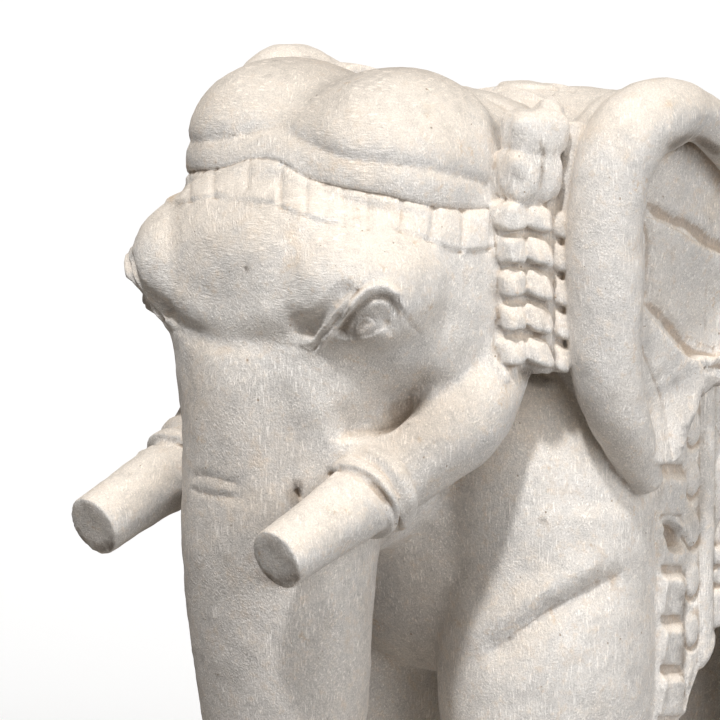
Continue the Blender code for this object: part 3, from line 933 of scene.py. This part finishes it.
def saddle_cloth(skin):
    """What the saddle cloth's sheet, with its border of blocks, petals and a rim, lifts."""
    back, up = skin.back, skin.up
    outward = np.abs(skin.normals[:, 0])
    edge = cloth_edge_distance(back, up)
    from_side = np.minimum(back - CLOTH_FRONT, CLOTH_BACK - back)
    side_border = from_side < RIM_MIDDLE + RIM_HALF
    within = np.where(side_border, from_side, np.minimum(from_side, up - CLOTH_FOOT))
    along = np.where(side_border, up + BLOCK_SLOPE * within, back)
    # The blocks
    spot = (along + BLOCK_START) % BLOCK_PITCH
    on_blocks = step(within, 0, 1.5) * (1 - step(within, BLOCK_WIDTH - 1.2, BLOCK_WIDTH))
    block = np.interp(spot, BLOCK_PLACES, BLOCK_LIFTS) * on_blocks
    # The petals, undercut at one end
    spot = (along - BLOCK_SLOPE * within * side_border + PETAL_START) % BLOCK_PITCH - BLOCK_PITCH / 2
    petal = np.hypot((within - PETAL_MIDDLE) / PETAL_HALF_WIDTH, spot / PETAL_HALF_HEIGHT)
    petals = PETAL_RISE * (1 - step(petal, 0.75, 1.05))
    petals -= PETAL_UNDERCUT * swell(petal - 1.15, 0.3) * step(-spot, -1, 4)
    # The rim, and a thinner one along the slanted corner
    rim = RIM_RISE * np.sqrt(np.clip(1 - ((within - RIM_MIDDLE) / RIM_HALF) ** 2, 0, 1))
    rim += 0.45 * RIM_RISE * swell(edge - 2.6, 3) * (side_border & (up < CLOTH_FOOT) & (within > BLOCK_WIDTH))
    # The quilted field
    field = step(within, RIM_MIDDLE + RIM_HALF, RIM_MIDDLE + RIM_HALF + 2)
    quilt = 0.0
    for lean in (-0.8, 0.8):
        off = (back + lean * up) % QUILT_PITCH - QUILT_PITCH / 2
        quilt = np.minimum(quilt, -QUILT_DEPTH * swell(np.abs(off) - QUILT_PITCH / 2, 1.4))
    sheet = CLOTH_THICKNESS * step(edge, -1.2, 1.2)
    on_body = (back > -40) & ~on_ear(skin) & (skin.aside > 12 * (up < 290))
    on_body &= (outward > 0.3) | (up > 250)
    # The broken hollow
    off = np.hypot((back - POCKET[0] - 0.4 * (POCKET[1] - up)) / POCKET_RADII[0], (up - POCKET[1]) / POCKET_RADII[1])
    pocket = (1 - step(off, 0.5, 1.0)) * (skin.across > 0)
    border = (block + petals * step(edge, 4, 9) + rim) * step(edge, 0, 1) * (1 - pocket)
    return (sheet + border - POCKET_DEPTH * pocket + quilt * field) * on_body


def ripple(points, length, seed):
    """Smooth unevenness of about this length, between about -1 and 1."""
    random = np.random.default_rng(seed)
    directions = random.normal(size=(14, 3))
    directions *= (2 * np.pi / length) / np.linalg.norm(directions, axis=1)[:, None]
    phases = random.uniform(0, 2 * np.pi, 14)
    total = np.zeros(len(points))
    for direction, phase in zip(directions, phases):
        total += np.cos(points @ direction + phase)
    return total / math.sqrt(14)


def smoothed(skin, rounds, share=1.0):
    """The skin's points, each drawn by this share towards its neighbours, this many times."""
    ends = np.empty(len(skin.mesh.edges) * 2, np.int32)
    skin.mesh.edges.foreach_get("vertices", ends)
    first, second = ends.reshape(-1, 2).T
    count = len(skin.points)
    shares = np.bincount(first, minlength=count) + np.bincount(second, minlength=count)
    smooth = skin.points.copy()
    for _ in range(rounds):
        for axis in range(3):
            values = smooth[:, axis]
            total = np.bincount(first, values[second], count) + np.bincount(second, values[first], count)
            smooth[:, axis] += share * (total / shares - values) / 2
    return smooth


def hollows(skin, rounds):
    """How deep each point lies in a hollow, or how proud it stands if negative, against its surroundings."""
    return np.einsum("ij,ij->i", smoothed(skin, rounds) - skin.points, skin.normals)


def soften(body):
    """Turns the creases between the head's two domes and between trunk and cheeks into soft valleys."""
    skin = Skin(body)
    crown = swell(skin.across, CROWN_VALLEY_HALF) * step(skin.up, *CROWN_VALLEY_UPS) * (skin.back < CROWN_VALLEY_BACK)
    cheeks = skin.close_to(CHEEK_VALLEY, CHEEK_VALLEY_RADII)
    skin.points = smoothed(skin, VALLEY_SMOOTHING, np.maximum(crown, cheeks))
    skin.write()


def off_roll(skin):
    """How far each point lies from the roll of the ear's edge, seen from the side."""
    line = np.array([(back, up) for _, back, up, _ in EAR_ROLL])
    distance, along, _ = from_line(line, skin.ear_back, skin.up)
    gone = np.concatenate([[0], np.cumsum(np.hypot(*np.diff(line, axis=0).T))])
    return distance - np.interp(along, gone / gone[-1], [radius for *_, radius in EAR_ROLL])


def on_ear(skin):
    """Whether each point belongs to an ear, or lies close by its edge."""
    distance, _, _ = from_line(smooth_line(EAR_OUTLINE + EAR_OUTLINE[:1]), skin.ear_back, skin.up)
    near = inside(EAR_OUTLINE, skin.ear_back, skin.up) | (np.minimum(distance, off_roll(skin)) < EAR_MARGIN)
    return near & (skin.aside > EAR_ROOT)


def dirt_and_painted_light(skin):
    """How much darker each point is painted, with dirt and with painted shade on the chest, in the eye and in gaps and
    hollows, and below zero how much lighter, with painted highlights on the brow and the ear's roll.
    """
    trunk = (skin.back < -118) * (1 - step(skin.up, 235, 275)) * (1 - step(skin.aside, 34, 50))
    amount = TRUNK_DARKENING * trunk
    for middle, radii, strength in DIRT_AND_PAINTED_LIGHT:
        amount += strength * skin.close_to(middle, radii)
    return amount + drawn(skin, DIRT_AND_SHADE_LINES, skin.back < 10)


def carve_figure(skin, relief):
    """Carves the drawn lines of the face, the lips round the tusks, the forelegs and the withers."""
    aside, back, up = skin.aside, skin.back.copy(), skin.up
    on_tusk = (aside > 36) & (up < 222) & (back < -125)
    on_head = (back < -70) & (up > 150) & ~on_tusk
    on_face = on_head & (aside < 95)
    on_leg = (aside > 20) & (up < 195) & (back > -110) & (back < -20)
    on_withers = (back > -80) & (back < 10) & (up > 300) & (aside < 70)
    skin.move(relief * drawn(skin, BROAD_LINES, on_face))
    skin.move(relief * (drawn(skin, FACE_LAPS, on_face) + drawn(skin, LEG_LAPS, on_leg)))
    lines = drawn(skin, EYE_LINES + FACE_LINES, on_head)
    lines += drawn(skin, LIP_LINES, on_tusk)
    lines += drawn(skin, WITHERS_LINES, on_withers)
    skin.move(relief * lines)


def carve_ears(skin, relief):
    """Carves the folds of both ears, those of the right one where they would lie if it weren't pinched."""
    on_panels = (skin.aside > EAR_HOLLOW_OUT - 8) & (skin.back > -100) & (skin.up > 185) & (off_roll(skin) > 0.6)
    pinched = skin.points
    skin.points = np.stack([skin.across, skin.ear_back, pinched[:, 2]], 1)
    folds = drawn(skin, EAR_LINES, on_panels, least_facing=-1.5)
    skin.points = pinched
    skin.move(relief * folds, np.sign(skin.across)[:, None] * (1, 0, 0))


def weather(skin, relief, waviness):
    """Leaves the garland worn and the whole surface a little uneven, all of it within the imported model's box."""
    worn = 0.45 * ripple(skin.points * (1, 1, 0.3), 4.5, 4)
    skin.move(relief * worn * (on_garland(skin) & (off_roll(skin) > 3)))
    uneven = 0.6 * ripple(skin.points, 38, 1) + 0.45 * ripple(skin.points, 13, 2) + 0.16 * ripple(skin.points, 5, 3)
    skin.move(uneven * waviness / SHARE)
    low, high = (np.array(corner) / SHARE for corner in CAD_BOX)
    skin.points = np.clip(skin.points, low + BOX_MARGIN, high - BOX_MARGIN)
    skin.points[:, 2] = np.maximum(skin.points[:, 2], 0.0)
    skin.write()


def describe(skin):
    """Writes down what the finish needs to know of the surface."""
    forward = (Vector(TUSK_TIP) - Vector(TUSK_ROOT)).normalized()
    reach = (skin.places - TUSK_TIP) @ np.array(forward)
    notes = {
        "hollow_fine": hollows(skin, FINE_HOLLOW),
        "hollow_broad": hollows(skin, BROAD_HOLLOW),
        "marks_level": step(skin.up, 262, 275) * (skin.back < -90) * (1 - step(skin.aside, 50, 75)),
        "facing_up": skin.normals[:, 2],
        # dirt, painted shade and painted highlights, for the finish
        "dirt_and_painted_light": dirt_and_painted_light(skin),
        "stain": drawn(skin, STAIN_LINES, skin.back < 10, mirrored=False),
        "sawn": step(reach, -1.6, -0.8) * (skin.back < -190),
    }
    for name, values in notes.items():
        layer = skin.mesh.attributes.new(name, "FLOAT", "POINT")
        layer.data.foreach_set("value", values.astype(np.float32))


def thinned(mesh):
    """The mesh with few enough triangles."""
    block = in_scene("elephant", mesh)
    mesh.calc_loop_triangles()
    thin = block.modifiers.new("fewer triangles", "DECIMATE")
    thin.ratio = min(1.0, MOST_TRIANGLES / len(mesh.loop_triangles))
    thin.use_collapse_triangulate = True
    return mesh_of(block)


def carve_elephant(relief, waviness):
    """The whole carving as one closed mesh in metres."""
    body = fuse([*masses(), base()], ROUGH_VOXEL * (1), ROUGH_SMOOTHING // (1))
    soften(body)
    features = [ball(EYEBALL_PLACE, EYEBALL_RADII), limb(LID_RIM), *tusk(), *garland(), *nails()]
    parts = [body, *on_both_sides(features), *ears(), limb(TAIL)]
    mesh = fuse(parts, FINE_VOXEL, FINE_SMOOTHING, fine=True)
    skin = Skin(mesh)
    skin.move(relief * saddle_cloth(skin))
    skin.move(relief * headband(skin))
    carve_figure(skin, relief)
    carve_ears(skin, relief)
    weather(skin, relief, waviness)
    describe(skin)
    mesh.transform(Matrix.Scale(SHARE, 4))
    return thinned(mesh)


class Value:
    """A number that varies over a finish. Arithmetic with it adds Math nodes."""

    def __init__(self, finish, socket):
        self.finish = finish
        self.socket = socket

    def math(self, operation, first, second):
        return self.finish.node("ShaderNodeMath", {"operation": operation}, {0: first, 1: second})

    def __add__(self, other):
        return self.math("ADD", self, other)

    def __radd__(self, other):
        return self.math("ADD", other, self)

    def __sub__(self, other):
        return self.math("SUBTRACT", self, other)

    def __rsub__(self, other):
        return self.math("SUBTRACT", other, self)

    def __mul__(self, other):
        return self.math("MULTIPLY", self, other)

    def __rmul__(self, other):
        return self.math("MULTIPLY", other, self)


class Finish:
    """The nodes of a material or of the room, and the shader that they start with."""

    def __init__(self, owner, shader="Principled BSDF"):
        owner.use_nodes = True
        self.tree = owner.node_tree
        self.shader = self.tree.nodes[shader]

    def node(self, kind, settings=None, values=None, output=0):
        """Adds a node of this kind with these settings and values or links, and returns one of its outputs."""
        made = self.tree.nodes.new(kind)
        for name, value in (settings or {}).items():
            setattr(made, name, value)
        for name, value in (values or {}).items():
            self.feed(made.inputs[name], value)
        return Value(self, made.outputs[output])

    def feed(self, socket, value):
        if isinstance(value, Value):
            self.tree.links.new(value.socket, socket)
        else:
            socket.default_value = value

    def place(self, stretch=(1, 1, 1)):
        """Places on the object in metres, times these."""
        spot = self.node("ShaderNodeTexCoord", output="Object")
        return self.node("ShaderNodeVectorMath", {"operation": "MULTIPLY"}, {0: spot, 1: stretch})

    def noise(self, scale, detail=3.0, roughness=0.5, stretch=(1, 1, 1), output="Fac"):
        return self.node(
            "ShaderNodeTexNoise", None,
            {"Vector": self.place(stretch), "Scale": scale, "Detail": detail, "Roughness": roughness}, output,
        )

    def band(self, value, low, high):
        """Nought below low, one above high, and smooth between, or the other way round if low is higher."""
        return self.node(
            "ShaderNodeMapRange", {"interpolation_type": "SMOOTHSTEP"},
            {"Value": value, "From Min": low, "From Max": high, "To Min": 0.0, "To Max": 1.0},
        )

    def mix(self, share, first, second):
        """A colour between two colours."""
        first, second = (value if isinstance(value, Value) else (*value, 1.0) for value in (first, second))
        return self.node("ShaderNodeMix", {"data_type": "RGBA"}, {0: share, 6: first, 7: second}, output=2)

    def written(self, name):
        """What the carving wrote down about the surface under this name."""
        return self.node("ShaderNodeAttribute", {"attribute_name": name}, output="Fac")


def marble(colours):
    """White marble with rasp marks, sugary grain, cream on top, dirt in its hollows, pits and rusty stains, with
    painted shade and painted highlights in some places.
    """
    material = bpy.data.materials.new("marble")
    finish = Finish(material)
    stone, cool, warm, dirt, rust = map(tuple, (colours.stone, colours.cool, colours.warm, colours.dirt, colours.rust))
    fine, broad, level, upward, sawn, dirt_and_painted_light_level, stained = map(finish.written, (
        "hollow_fine", "hollow_broad", "marks_level", "facing_up", "sawn", "dirt_and_painted_light", "stain",
    ))
    patches = finish.noise(26, 4, 0.6)
    blotches = finish.noise(75, 3, 0.6)
    mottling = finish.noise(230, 5, 0.65)
    grain = finish.noise(1400, 2, 0.8)

    # Rasp marks: level ones on the brow and upright ones elsewhere, with patches of slanting ones over both
    level_marks = finish.noise(1.0, 2, 0.6, LEVEL_MARKS)
    upright_marks = finish.noise(1.0, 2, 0.6, UPRIGHT_MARKS)
    slanting = finish.node(
        "ShaderNodeVectorRotate", {"rotation_type": "EULER_XYZ"},
        {"Vector": finish.place(), "Rotation": SLANT},
    )
    slanting = finish.node("ShaderNodeVectorMath", {"operation": "MULTIPLY"}, {0: slanting, 1: SLANTING_MARKS})
    slanting_marks = finish.node("ShaderNodeTexNoise", None, {"Vector": slanting, "Scale": 1.0, "Detail": 2.0})
    crossing = finish.band(finish.noise(45, 2, 0.5), 0.44, 0.60) * 0.9
    marks = level * level_marks + (1 - level) * upright_marks
    marks = marks + (slanting_marks - marks) * crossing
    scratches = finish.band(marks, 0.54, 0.68)
    sparkle = finish.band(grain, 0.60, 0.74)

    # The stone's own colour, then rust, patina, dirt in the hollows, dirt and painted shade on the places listed for
    # them, and dark pits
    colour = finish.mix(finish.band(patches, 0.38, 0.62), stone, cool)
    cream = finish.band(upward + (patches - 0.5) * 1.5 + (mottling - 0.5) * 0.5, -0.2, 0.65)
    colour = finish.mix(cream * 0.9, colour, warm)
    colour = finish.mix(finish.band(mottling, 0.54, 0.70) * 0.4, colour, warm)
    spots = finish.band(finish.noise(70, 3, 0.6), 0.62, 0.72) * finish.band(finish.noise(500, 3, 0.7), 0.46, 0.64)
    colour = finish.mix(spots * 0.45 + stained * finish.band(mottling, 0.30, 0.55), colour, rust)
    pits = finish.band(finish.noise(560, 0, 0.5), 0.865, 0.885)
    for darkened in (
        finish.band(blotches + (mottling - 0.5) * 1.3, 0.52, 0.80) * 0.22,
        finish.band(fine + 0.10 * broad + (mottling - 0.5) * 0.5, 0.05, 0.60) * 0.6,
        # dirt, and painted shade on the chest, in the eye and in gaps and hollows
        finish.band(dirt_and_painted_light_level, 0.3, 2.4) * 0.4,
        pits * 0.75,
    ):
        colour = finish.mix(darkened, colour, dirt)

    # Where it is lighter and darker: the marks show least where the stone is worn creamy
    worn = 1.15 - cream * 0.28
    lightness = 0.97 + scratches * worn * 0.30 + (grain - 0.5) * worn * 0.8 + sparkle * 0.06
    lightness = lightness + (mottling - 0.5) * 0.54 + (blotches - 0.5) * 0.44
    # painted shade and dirt darken, and below zero painted highlights lighten the brow and the ear's roll
    lightness = lightness - sawn * 0.04 - dirt_and_painted_light_level * 0.12 + finish.band(fine, 0.0, -0.3) * 0.06
    shade = finish.node("ShaderNodeCombineColor", None, {0: lightness, 1: lightness, 2: lightness})
    settings = {"data_type": "RGBA", "blend_type": "MULTIPLY"}
    tinted = finish.node("ShaderNodeMix", settings, {0: 1.0, 6: colour, 7: shade}, output=2)
    height = marks * 1.1 + grain * 1.0 + mottling * 1.0 - pits * 1.5
    bump = finish.node("ShaderNodeBump", None, {"Height": height, "Strength": 0.8, "Distance": 0.0004})
    finish.feed(finish.shader.inputs["Base Color"], tinted)
    finish.feed(finish.shader.inputs["Roughness"], colours.roughness - sparkle * 0.25)
    finish.feed(finish.shader.inputs["Normal"], bump)
    finish.feed(finish.shader.inputs["Specular IOR Level"], 0.35)
    return material


def dress(piece, material):
    """Gives the piece its finish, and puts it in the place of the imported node."""
    piece.data.materials.clear()
    piece.data.materials.append(material)
    piece.data.shade_smooth()
    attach(piece, "root")
    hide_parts(NODE)


class CARVING_OT_elephant(bpy.types.Operator):
    """Carves the elephant with its base from one block of marble"""

    bl_idname = "carving.elephant"
    bl_label = "Carve the Elephant"

    def execute(self, context):
        sizes = context.scene.carving_sizes
        mesh = carve_elephant(sizes.relief, sizes.waviness)
        dress(in_scene("marble_elephant", mesh), marble(context.scene.marble_finish))
        return {"FINISHED"}


def lamp(name, strength, softness, turn, height):
    """A far light, this many degrees round from the elephant's front and above the floor."""
    light = bpy.data.lights.new(name, "SUN")
    light.energy = strength
    light.angle = math.radians(softness)
    thing = in_scene(name, light)
    backward = seen_from(math.radians(turn), math.radians(height))
    thing.location = backward * 3
    thing.rotation_euler = backward.to_track_quat("Z", "Y").to_euler()


def show_instead(finish, seen, ending):
    """Shows this shader to the camera, while the light that bounces about meets the finish's own."""
    path = finish.node("ShaderNodeLightPath", output="Is Camera Ray")
    own = Value(finish, finish.shader.outputs[0])
    shown = finish.node("ShaderNodeMixShader", None, {0: path, 1: own, 2: seen})
    finish.feed(finish.tree.nodes[ending].inputs["Surface"], shown)


def studio_floor(settings):
    bpy.ops.mesh.primitive_plane_add(size=30)
    floor = bpy.context.object
    floor.name = "floor"
    material = bpy.data.materials.new("floor")
    finish = Finish(material)
    finish.feed(finish.shader.inputs["Base Color"], (*settings.bounce, 1.0))
    finish.feed(finish.shader.inputs["Specular IOR Level"], 0.0)
    seen = finish.node("ShaderNodeBsdfDiffuse", None, {"Color": (*settings.floor, 1.0)})
    show_instead(finish, seen, "Material Output")
    floor.data.materials.append(material)


def studio_room(settings):
    """The room is white to the camera, and lights the stone only dimly."""
    room = bpy.data.worlds.new("room")
    bpy.context.scene.world = room
    finish = Finish(room, "Background")
    finish.feed(finish.shader.inputs["Color"], (*settings.room, 1.0))
    seen = finish.node("ShaderNodeBackground", None, {"Color": (1, 1, 1, 1)})
    show_instead(finish, seen, "World Output")


def studio_camera():
    """A camera that sees the carving as the drawing does."""
    eye, _, _, backward = drawing_axes()
    camera = bpy.data.cameras.new("camera")
    camera.sensor_width = 36
    camera.lens = camera.sensor_width * DRAWING_DISTANCE / DRAWING_STEPS
    camera.clip_end = 50
    viewer = in_scene("camera", camera)
    viewer.location = eye * SHARE
    viewer.rotation_euler = backward.to_track_quat("Z", "Y").to_euler()
    bpy.context.scene.camera = viewer


class CARVING_OT_studio(bpy.types.Operator):
    """Sets up the floor, the lights and the camera"""

    bl_idname = "carving.studio"
    bl_label = "Set Up the Studio"

    def execute(self, context):
        studio = context.scene.studio_settings
        studio_floor(studio)
        studio_room(studio)
        lamp("key light", studio.key, 5, 30, 59)
        lamp("front light", studio.front, 60, -25, 45)
        lamp("side light", studio.side, 60, 88, 12)
        studio_camera()
        context.scene.view_settings.view_transform = "Standard"
        return {"FINISHED"}


class CARVING_PT_panel(bpy.types.Panel):
    """Lists the carving's steps and settings"""

    bl_idname = "CARVING_PT_panel"
    bl_label = "Marble Elephant"
    bl_space_type = "VIEW_3D"
    bl_region_type = "UI"
    bl_category = "Carving"

    def draw(self, context):
        scene = context.scene
        for settings, operator in (
            (scene.carving_sizes, CARVING_OT_elephant),
            (scene.marble_finish, None),
            (scene.studio_settings, CARVING_OT_studio),
        ):
            box = self.layout.box()
            for name in settings.__annotations__:
                box.prop(settings, name)
            if operator:
                box.operator(operator.bl_idname)


CLASSES = (CarvingSizes, MarbleFinish, StudioSettings, CARVING_OT_elephant, CARVING_OT_studio, CARVING_PT_panel)


def register():
    for cls in CLASSES:
        bpy.utils.register_class(cls)
    bpy.types.Scene.carving_sizes = bpy.props.PointerProperty(type=CarvingSizes)
    bpy.types.Scene.marble_finish = bpy.props.PointerProperty(type=MarbleFinish)
    bpy.types.Scene.studio_settings = bpy.props.PointerProperty(type=StudioSettings)


def unregister():
    for name in ("carving_sizes", "marble_finish", "studio_settings"):
        delattr(bpy.types.Scene, name)
    for cls in reversed(CLASSES):
        bpy.utils.unregister_class(cls)


def main():
    register()
    bpy.ops.carving.elephant()
    bpy.ops.carving.studio()


if __name__ == "__main__":
    main()
